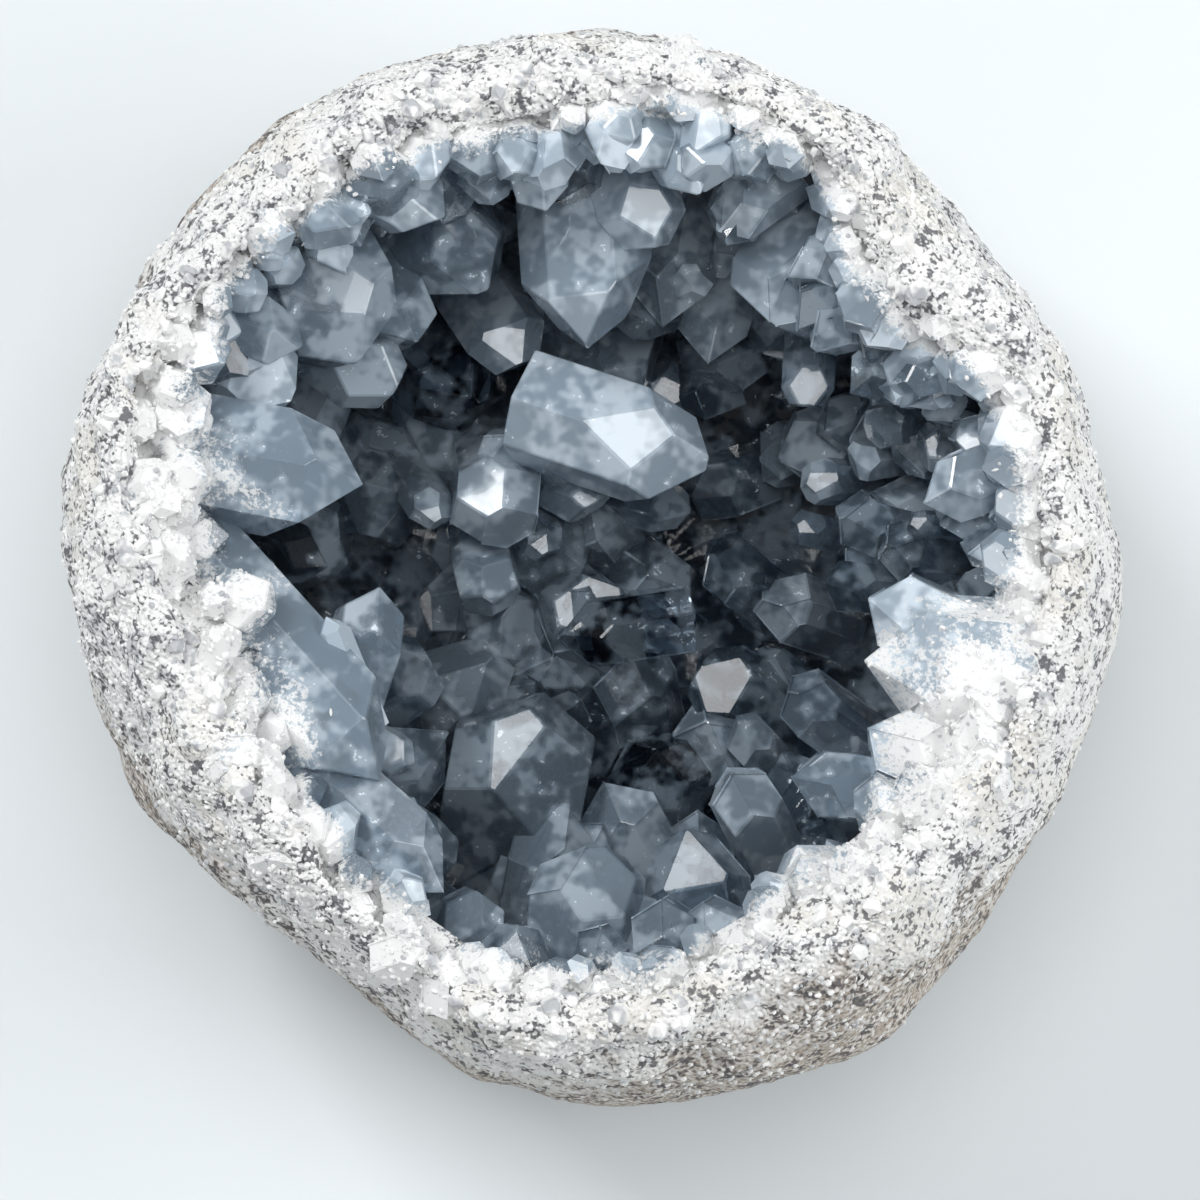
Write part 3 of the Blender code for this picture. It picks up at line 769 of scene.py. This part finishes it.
print(len(large), "large crystals")

# %% [markdown]
# ## Clear or milky
# On the real piece some crystals are dark and clear and their neighbours pale as skimmed milk. That
# can't follow from a rule, so the ones that catch the eye are listed: 0 is clear and 1 is white. The
# rest take a number by chance, between limits.

# %% How milky the crystals are
MILKY = {
    "top_diamond": 0.62, "top_lilac": 0.62, "top_right_plate": 0.75, "top_speckled": 0.5,
    "top_small_pale": 0.9, "top_right_blue": 0.55, "top_right_green": 0.4, "top_pale_stub": 0.5,
    "upper_left_prow": 0.48, "upper_left_block": 0.66, "left_upper_grey": 0.6, "great_lying": 0.72,
    "left_great": 0.6, "left_pale_block": 0.75, "left_rim_hexagon": 0.75, "left_column": 0.7,
    "lower_left_great": 0.6, "left_low_fin": 1.0, "left_low_pale": 0.5, "centre_cloud": 0.6,
    "centre_arrow": 0.5, "centre_glassy": 0.5, "centre_lilac": 0.35, "inner_round": 0.5,
    "bottom_main": 0.55, "bottom_right_frosted": 0.65, "lower_right_pale": 0.75, "fibrous": 0.7,
    "bottom_left_stub": 0.5, "lower_left_blade": 0.5, "lower_great": 0.42, "deep_dome": 0.15,
    "tongue_upper": 0.85, "tongue_middle": 0.9, "tongue_lower": 0.85, "right_wall_grey": 0.65,
    "right_rim_grey": 0.75, "lower_right_sparkle": 0.5, "lower_right_grey": 0.6, "right_notch": 0.6,
    "right_blue": 0.5, "inner_top_lilac": 0.6, "inner_left_blue": 0.45, "lower_right_blue": 0.45,
    "bottom_right_slab": 0.35, "inner_upper_blue": 0.4, "centre_black": 0.05, "deep_lower": 0.12,
}
LEAST_MILKY = 0.19
FILL_MILKY = 0.68
RIM_MILKY = (0.5, 0.95)


def milk_of(crystal):
    """How milky a crystal is: listed, or by chance, and then the deeper ones are the clearer ones."""
    chance = random.Random(crystal.name + "_milk")
    if crystal.name.startswith(("fringe", "rim")):
        return chance.uniform(*RIM_MILKY)
    height = clamped((crystal.z - BED_HEIGHT) / (lip_height(0) - BED_HEIGHT))
    by_chance = LEAST_MILKY + FILL_MILKY * (0.35 + 0.65 * height) * chance.random()
    return MILKY.get(crystal.name, by_chance)


print(sum(milk_of(crystal) > 0.5 for crystal in large), "large crystals are more milky than clear")

# %% [markdown]
# ## Cutting one crystal
# Planes cut a block: four along its length, four at its end, and one more where a level face shows.
# The angles are those of the mineral, and a little chance, drawn from the crystal's own name, keeps
# any two from being alike. A narrow bevel then gives each edge the bright line of a real one.

# %% One crystal
ROOT_DEPTH = 3.5
SIDE_FACE = 52
SIDE_SHARE = (0.86, 1)
END_FACE_ACROSS = 46
END_FACE_OVER = 51
END_FACE_SPREAD = 8
END_STAGGER = 0.35
FACET_LEAN = 0.1
FACET_SHARE = 0.3
EDGE_WIDTH = 0.28
LEAST_BEVELLED = 9


def pointing(bearing, pitch):
    turn = math.radians(bearing)
    rise = math.radians(pitch)
    return Vector((math.cos(turn) * math.cos(rise), math.sin(turn) * math.cos(rise), math.sin(rise)))


def inside_hollow(point):
    angle = math.atan2(point.y, point.x)
    radius = math.hypot(point.x, point.y)
    wide = hollow_radius(angle)
    if point.z > HOLLOW_HEIGHT:
        t = min(1, (point.z - HOLLOW_HEIGHT) / (lip_height(angle) - HOLLOW_HEIGHT))
        ease = t * t * (3 - 2 * t)
        return radius < wide + (mouth_radius(angle) - wide) * ease
    depth = (HOLLOW_HEIGHT - point.z) / (HOLLOW_HEIGHT - BED_HEIGHT)
    return depth < 1 and radius < wide * math.sqrt(1 - depth * depth)


def root_distance(crystal):
    """How far a crystal runs back from its tip: to its own length, or into the wall behind it."""
    if crystal.length:
        return crystal.length
    tip = Vector((crystal.x, crystal.y, crystal.z))
    back = -pointing(crystal.bearing, crystal.pitch)
    distance = crystal.width / 2
    while inside_hollow(tip + back * distance):
        distance += 1
    return distance + ROOT_DEPTH


def placement(crystal):
    along = pointing(crystal.bearing, crystal.pitch)
    across = Vector((0, 0, 1)).cross(along).normalized()
    over = along.cross(across)
    turned = Matrix((along, across, over)).transposed().to_4x4()
    roll = Matrix.Rotation(math.radians(crystal.roll), 4, "X")
    return Matrix.Translation((crystal.x, crystal.y, crystal.z)) @ turned @ roll


def cut(bm, point, normal):
    """Takes off everything beyond a plane and closes the cut with one flat face."""
    geometry = bm.verts[:] + bm.edges[:] + bm.faces[:]
    found = bmesh.ops.bisect_plane(
        bm, geom=geometry, dist=1e-5, plane_co=point, plane_no=normal, clear_outer=True
    )
    rim = [e for e in found["geom_cut"] if isinstance(e, bmesh.types.BMEdge)]
    if rim:
        bmesh.ops.contextual_create(bm, geom=rim)


def crystal_mesh(crystal):
    chance = random.Random(crystal.name)
    length = root_distance(crystal)
    half_width = crystal.width / 2
    bm = bmesh.new()
    bmesh.ops.create_cube(bm, size=1)
    block = Matrix.Diagonal((length, crystal.width, crystal.thickness, 1))
    bm.transform(Matrix.Translation((-length / 2, 0, 0)) @ block)
    side = math.radians(SIDE_FACE)
    for across in (-1, 1):
        for over in (-1, 1):
            normal = Vector((0, across * math.sin(side), over * math.cos(side)))
            cut(bm, normal * half_width * math.sin(side) * chance.uniform(*SIDE_SHARE), normal)
    for face, outward in ((END_FACE_ACROSS, Vector((0, 1, 0))), (END_FACE_OVER, Vector((0, 0, 1)))):
        turn = math.radians(face + chance.uniform(-END_FACE_SPREAD, END_FACE_SPREAD))
        for side in (-1, 1):
            start = Vector((-half_width * chance.uniform(0, END_STAGGER), 0, 0))
            cut(bm, start, Vector((math.cos(turn), 0, 0)) + side * math.sin(turn) * outward)
    bm.transform(placement(crystal))
    if crystal.facet:
        lean = Vector((chance.uniform(-1, 1), chance.uniform(-1, 1), 1 / FACET_LEAN)).normalized()
        highest = max(vert.co.dot(lean) for vert in bm.verts)
        cut(bm, lean * (highest - FACET_SHARE * crystal.facet), lean)
    if crystal.width > LEAST_BEVELLED:
        bevel = {"offset": EDGE_WIDTH, "segments": 1, "affect": "EDGES", "clamp_overlap": True}
        bmesh.ops.bevel(bm, geom=bm.edges[:], **bevel)
    return bm


sample = crystal_mesh(large[0])
print(large[0].name, "has", len(sample.faces), "faces with its bevels")
sample.free()

# %% [markdown]
# ## The small crystals
# Between the large crystals no wall shows: smaller ones fill every gap. Nobody could place them all by
# hand, so they follow three rules. The fringe stands along the mouth, as in the solid model. The
# filling starts at chance places on the wall of the hollow and points roughly to the middle. The rim
# clusters are half sunk in the lip.

# %% Fringe, filling and rim clusters
FRINGE = 24
FRINGE_WIDTH = (6, 10)
FRINGE_PITCH = (50, 75)
FILLING = 240
WALL_WIDTH = (8, 15)
WALL_LENGTH = (0.9, 1.6)
BED_WIDTH = (12, 21)
BED_LENGTH = (1.1, 2.0)
FILLING_STEEPNESS = (12, 80)
FILLING_AIM = Vector((0, 0, 90))
RIM_CLUSTER = 130
RIM_CLUSTER_WIDTH = (5, 12)
RIM_CLUSTER_PITCH = (28, 75)


def fringe():
    stubs = []
    for i in range(FRINGE):
        name = f"fringe_{i}"
        chance = random.Random(name)
        angle = 2 * math.pi * (i + chance.uniform(-0.35, 0.35)) / FRINGE
        width = chance.uniform(*FRINGE_WIDTH)
        tip = at(angle, mouth_radius(angle) - width * 0.8, lip_height(angle) + chance.uniform(-2, 3))
        bearing = math.degrees(angle) + 180 + chance.uniform(-50, 50)
        pitch = chance.uniform(*FRINGE_PITCH)
        roll = chance.uniform(0, 180)
        stubs.append(Crystal(name, *tip, width, width * 0.8, bearing, pitch, roll))
    return stubs


def filling():
    stubs = []
    for i in range(FILLING):
        name = f"filling_{i}"
        chance = random.Random(name)
        angle = chance.uniform(0, 2 * math.pi)
        low_down = chance.random() < 0.5
        place = 2 + chance.random() if low_down else chance.uniform(1.08, 2)
        root = at(angle, *inner_point(angle, place))
        way = (FILLING_AIM - root).normalized()
        width = chance.uniform(*(BED_WIDTH if low_down else WALL_WIDTH))
        tip = root + way * width * chance.uniform(*(BED_LENGTH if low_down else WALL_LENGTH))
        bearing = math.degrees(math.atan2(way.y, way.x)) + chance.uniform(-35, 35)
        pitch = math.degrees(math.asin(way.z)) + chance.uniform(-30, 30)
        pitch = min(max(pitch, FILLING_STEEPNESS[0]), FILLING_STEEPNESS[1])
        roll = chance.uniform(0, 180)
        stubs.append(Crystal(name, *tip, width, width * 0.75, bearing, pitch, roll))
    return stubs


def rim_cluster():
    """Short crystals half sunk in the broken stone of the lip."""
    stubs = []
    for i in range(RIM_CLUSTER):
        name = f"rim_{i}"
        chance = random.Random(name)
        angle = 2 * math.pi * (i + chance.uniform(-0.5, 0.5)) / RIM_CLUSTER
        width = chance.uniform(*RIM_CLUSTER_WIDTH)
        radius, height = inner_point(angle, chance.uniform(0.3, 1))
        tip = at(angle, radius - width * chance.uniform(0.1, 1.1), height + chance.uniform(-1, 2))
        bearing = math.degrees(angle) + 180 + chance.uniform(-60, 60)
        pitch = chance.uniform(*RIM_CLUSTER_PITCH)
        roll = chance.uniform(0, 180)
        stubs.append(Crystal(name, *tip, width, width * 0.8, bearing, pitch, roll, 0, width * 1.1))
    return stubs


small = [*fringe(), *filling(), *rim_cluster()]
print(len(small), "small crystals")

# %% [markdown]
# ## One crust
# Crystals that grew together share one body, and light passes from one into the next without a
# surface between them. So all of them, and the thin lining they root in, are united. Uniting them two
# by two, then the results two by two, keeps every step small. Each crystal first gets a number that
# says how milky it is, and the union carries it along.

# %% Uniting the crystals
LINING_DEPTH = 4.0
LINING_BACK = 2.0
LINING_DROP = 3.0
LINING_ROUGHNESS = 1.5
LINING_SEGMENTS = 60
LINING_WALL = 3
LINING_BED = 8


def lining_ring(place, offset, roughness):
    slope = max(0, place - 2) * math.pi / 2
    ring = []
    for angle in angles(LINING_SEGMENTS):
        radius, height = inner_point(angle, place)
        depth = offset + roughness * noise.noise(at(angle, radius, height) / PIT_LENGTH)
        ring.append(at(angle, radius + depth * math.cos(slope), height - depth * math.sin(slope)))
    return ring


def lining_mesh():
    top = 1 + LINING_DROP / HOLLOW_HEIGHT
    places = [top + (2 - top) * i / LINING_WALL for i in range(LINING_WALL)]
    places += [2 + i / LINING_BED for i in range(LINING_BED)]
    back = [lining_ring(place, LINING_BACK, 0) for place in reversed(places)]
    places[0] += LINING_DEPTH / HOLLOW_HEIGHT
    front = [lining_ring(place, -LINING_DEPTH, LINING_ROUGHNESS) for place in places]
    return lofted(
        back + front,
        first_pole=Vector((0, 0, BED_HEIGHT - LINING_BACK)),
        last_pole=Vector((0, 0, BED_HEIGHT + LINING_DEPTH)),
    )


def with_milk(obj, amount):
    values = [amount] * len(obj.data.polygons)
    obj.data.attributes.new("cloud", "FLOAT", "FACE").data.foreach_set("value", values)
    bpy.context.scene.collection.objects.unlink(obj)
    return obj


def united(first, second):
    scene_objects = bpy.context.scene.collection.objects
    for obj in (first, second):
        scene_objects.link(obj)
    boolean = first.modifiers.new("union", "BOOLEAN")
    boolean.operation = "UNION"
    boolean.solver = "MANIFOLD"
    boolean.object = second
    depsgraph = bpy.context.evaluated_depsgraph_get()
    mesh = bpy.data.meshes.new_from_object(first.evaluated_get(depsgraph))
    for obj in (first, second):
        bpy.data.objects.remove(obj)
    return bpy.data.objects.new("united", mesh)


def united_all(parts):
    while len(parts) > 1:
        pairs = [united(a, b) for a, b in zip(parts[::2], parts[1::2])]
        parts = pairs + parts[len(pairs) * 2:]
    return parts[0]


def without_loose_bodies(mesh):
    """Keeps the largest body, because closed air pockets between crystals would be loose shells."""
    bm = bmesh.new()
    bm.from_mesh(mesh)
    left = set(bm.verts)
    bodies = []
    while left:
        body = {left.pop()}
        edge = list(body)
        while edge:
            point = edge.pop()
            fresh = {e.other_vert(point) for e in point.link_edges} & left
            left.difference_update(fresh)
            body.update(fresh)
            edge += fresh
        bodies.append(body)
    bodies.sort(key=len)
    loose = [v for body in bodies[:-1] for v in body]
    bmesh.ops.delete(bm, geom=loose, context="VERTS")
    bm.to_mesh(mesh)
    bm.free()


pieces = [with_milk(new_object("lining", lining_mesh()), LEAST_MILKY)]
pieces += [with_milk(new_object(c.name, crystal_mesh(c)), milk_of(c)) for c in (*large, *small)]
crust = united_all(pieces)
crust.name = "celestite_crust"
bpy.context.scene.collection.objects.link(crust)
without_loose_bodies(crust.data)
print("crust:", triangles(crust), "triangles")

# %% [markdown]
# ## Powder from the rim
# White stone powder covers the crystals where they meet the rim, in ragged patches that reach further
# inwards on some sides. It could be painted by hand, but a rule follows any change of the crystals.
# Each point of the crust gets a number called powder, from its distance to the lip and from a list of
# how far the powder reaches, and the material breaks the edge up with noise. A second number, grit, is
# the same near the level of the lip and 0 below it, so that loose grains lie only where they show.

# %% Powder and grit on the crust
POWDER_REACH = (14, 7, 9, 7, 7, 7, 7, 8, 24, 44, 26, 12, 10, 11, 9, 11, 16, 44)
POWDER_DEPTH = 20
POWDER_TOP = 1.3
OVER_LIP = 4
THIN_PLACE = 5
THIN_SHARE = 0.4
WALL_COVER = 8
GRIT_DEPTH = 9


def powder_at(point):
    """Full on the outside, thinner in a ring beyond the mouth, and fading inwards and downwards."""
    angle = math.atan2(point.y, point.x)
    radius = math.hypot(point.x, point.y)
    if radius > hollow_radius(angle) + WALL_COVER:
        return 1
    inward = mouth_radius(angle) - radius
    below = lip_height(angle) + OVER_LIP - point.z
    shallow = clamped(POWDER_TOP - below / POWDER_DEPTH)
    if inward < 0:
        return shallow * (1 - THIN_SHARE * max(0, 1 - abs(inward / THIN_PLACE + 1)))
    return shallow * max(0, 1 - inward / around(POWDER_REACH, angle))


def grit_at(point):
    lip = lip_height(math.atan2(point.y, point.x))
    return powder_at(point) if point.z > lip - GRIT_DEPTH else 0


def set_powder(mesh):
    points = [vert.co / MM - SHIFT for vert in mesh.vertices]
    for name, rule in (("powder", powder_at), ("grit", grit_at)):
        values = [rule(point) for point in points]
        mesh.attributes.new(name, "FLOAT", "POINT").data.foreach_set("value", values)
        print(name, "on", sum(v > 0.5 for v in values), "points of", len(values))


set_powder(crust.data)
crust.data.materials.clear()
crust.data.materials.append(celestite)

# %% [markdown]
# ## Sugar on the broken edge
# Where the stone broke, it is made of grains of a millimetre or so that catch the light one by one,
# and some of them stick to the crystals of the rim. They could be bump alone, but then the edge would
# have a smooth outline. Geometry Nodes scatter chips on the surface at chance places, thickest where a
# number that the mesh carries is near 1. One tree serves the stone, the crystals and all sizes.

# %% A tree that scatters chips
def chips_tree(mask, seed):
    sizes = ("Chips in a square metre", "Least size", "Most size", "Least mask", "Most mask")
    tree, board, given = new_tree("chips by " + mask, sizes, "Finish")
    share = named(board, mask).stepped(given["Least mask"], given["Most mask"])
    density = given["Chips in a square metre"] * share
    settings = {"distribute_method": "RANDOM"}
    spread = {"Mesh": given["Geometry"], "Density": density, "Seed": seed}
    points = board.add("GeometryNodeDistributePointsOnFaces", settings, spread)
    chip = board.add("GeometryNodeMeshIcoSphere", None, {"Radius": 1.0, "Subdivisions": 1})
    by_vector = {"data_type": "FLOAT_VECTOR"}
    turns = {0: (0, 0, 0), 1: (2 * math.pi,) * 3, "Seed": seed + 1}
    turn = board.add("FunctionNodeRandomValue", by_vector, turns)
    span = {0: given["Least size"], 1: given["Most size"], "Seed": seed + 2}
    size = board.add("FunctionNodeRandomValue", by_vector, span)
    places = {"Points": points, "Instance": chip, "Rotation": turn, "Scale": size}
    placed = board.add("GeometryNodeInstanceOnPoints", None, places)
    real = board.add("GeometryNodeRealizeInstances", None, {"Geometry": placed})
    dressing = {"Geometry": real, "Material": given["Finish"]}
    made = board.add("GeometryNodeSetMaterial", None, dressing)
    board.add("NodeGroupOutput", None, {"Geometry": made})
    return tree


def chips(source, name, mask, seed, number, sizes, masks):
    """Chips on source: number in a square millimetre, and least and most values of size and mask."""
    values = {
        "Chips in a square metre": number / (MM * MM),
        "Least size": sizes[0] * MM,
        "Most size": sizes[1] * MM,
        "Least mask": masks[0],
        "Most mask": masks[1],
        "Finish": grain_finish,
    }
    made = run_tree(source, chips_tree(mask, seed), name, values)
    made.data.shade_flat()
    print(name, triangles(made), "triangles")
    return made


grain_finish = grain_material()
print("materials:", grain_finish.name)

# %% [markdown]
# ## Three scatters
# The broken stone carries fine grains and a few larger lumps, and the rim's crystals carry grains where
# grit lies. Each scatter is an object of its own, so that one can be thinned out without the others.
# Sizes are in millimetres, from the centre of a chip to its corners.

# %% Grains and lumps
GRAINS = 0.30
LUMPS = 0.030
stone_grains = chips(rind, "stone_grains", "rim", 11, GRAINS, (0.25, 0.75), (0.1, 1.0))
stone_lumps = chips(rind, "stone_lumps", "rim", 21, LUMPS, (0.8, 2.2), (0.7, 1.0))
crystal_grains = chips(crust, "crystal_grains", "grit", 31, GRAINS, (0.2, 0.8), (0.5, 0.95))

# %% [markdown]
# ## Studio and camera
# The floor is plain and pale. A large soft light at the upper left throws the soft shadow to the lower
# right, and one overhead is what the level faces reflect. Four around the geode lighten its shaded
# sides, and the one on the right is the strongest of them. So few lights need no light tree, and each
# sample is quicker without it. The camera looks down, almost straight, from a metre away.

# %% Floor
FLOOR_COLOUR = (0.80, 0.845, 0.87, 1)
FLOOR_REACH = 3


def studio_floor():
    bm = bmesh.new()
    bmesh.ops.create_grid(bm, x_segments=1, y_segments=1, size=FLOOR_REACH)
    mesh = bpy.data.meshes.new("studio_floor")
    bm.to_mesh(mesh)
    bm.free()
    floor = bpy.data.objects.new("studio_floor", mesh)
    bpy.context.scene.collection.objects.link(floor)
    material, board = new_material("floor_paper")
    paper = board.surface(Base_Color=FLOOR_COLOUR, Roughness=0.9, Specular_IOR_Level=0.0)
    finish_material(board, paper)
    mesh.materials.append(material)


studio_floor()
print("floor:", 2 * FLOOR_REACH, "m square")

# %% Lights
LIGHTS = {
    "key": ((-0.93, 0.90, 1.43), 0.65, 13.6),
    "overhead": ((0.05, 0.12, 1.45), 0.65, 5.2),
    "right_fill": ((1.20, -0.10, 0.75), 0.80, 4.4),
    "near_fill": ((0.10, -1.20, 0.80), 0.80, 1.1),
    "left_fill": ((-1.20, -0.35, 0.65), 0.70, 0.9),
    "far_fill": ((0.35, 1.20, 0.75), 0.70, 0.9),
}
SKY_COLOUR = (0.92, 0.96, 1.0, 1)
SKY_STRENGTH = 0.16


def soft_light(name, place, size, radiance):
    """A square light, size metres wide, that faces the ground under the geode."""
    light = bpy.data.lights.new(name, "AREA")
    light.shape = "SQUARE"
    light.size = size
    light.energy = radiance * math.pi * size * size
    obj = bpy.data.objects.new(name, light)
    obj.location = place
    obj.rotation_euler = (-Vector(place)).to_track_quat("-Z", "Y").to_euler()
    bpy.context.scene.collection.objects.link(obj)


def studio_sky():
    world = bpy.data.worlds.new("studio")
    world.use_nodes = True
    background = world.node_tree.nodes["Background"]
    background.inputs["Color"].default_value = SKY_COLOUR
    background.inputs["Strength"].default_value = SKY_STRENGTH
    bpy.context.scene.world = world
    bpy.context.scene.view_settings.view_transform = "Standard"
    bpy.context.scene.cycles.use_light_tree = False


for name, (place, size, radiance) in LIGHTS.items():
    soft_light(name, place, size, radiance)
studio_sky()
print(len(LIGHTS), "lights")

# %% Camera
CAMERA_TARGET = Vector((0.70, -5.42, 67.56)) * MM
CAMERA_DISTANCE = 1.032
CAMERA_ELEVATION = 85
CAMERA_LENS = 180.1


def studio_camera():
    camera = bpy.data.cameras.new("camera")
    camera.sensor_width = 36
    camera.lens = CAMERA_LENS
    camera.clip_end = 10
    obj = bpy.data.objects.new("camera", camera)
    rise = math.radians(CAMERA_ELEVATION)
    back = Vector((0, -math.cos(rise), math.sin(rise)))
    obj.location = CAMERA_TARGET + back * CAMERA_DISTANCE
    obj.rotation_euler = back.to_track_quat("Z", "Y").to_euler()
    bpy.context.scene.collection.objects.link(obj)
    bpy.context.scene.camera = obj


studio_camera()
print("camera at", [round(v, 3) for v in bpy.context.scene.camera.location])

# %% [markdown]
# ## Handing over
# Each piece is attached to the body it rides on, and the imported solids that the rind and the crust
# stand for are hidden. A geode has no moving parts, so all of them ride on the root.

# %% Pieces and bodies
for piece, slot in (
    (rind, "stone"),
    (stone_grains, "stone"),
    (stone_lumps, "stone"),
    (crystal_grains, "stone"),
    (crust, "celestite"),
):
    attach(piece, "root")
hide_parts("rind")
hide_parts("crystal_crust")
print("rough_rind stands for rind, and celestite_crust for crystal_crust")
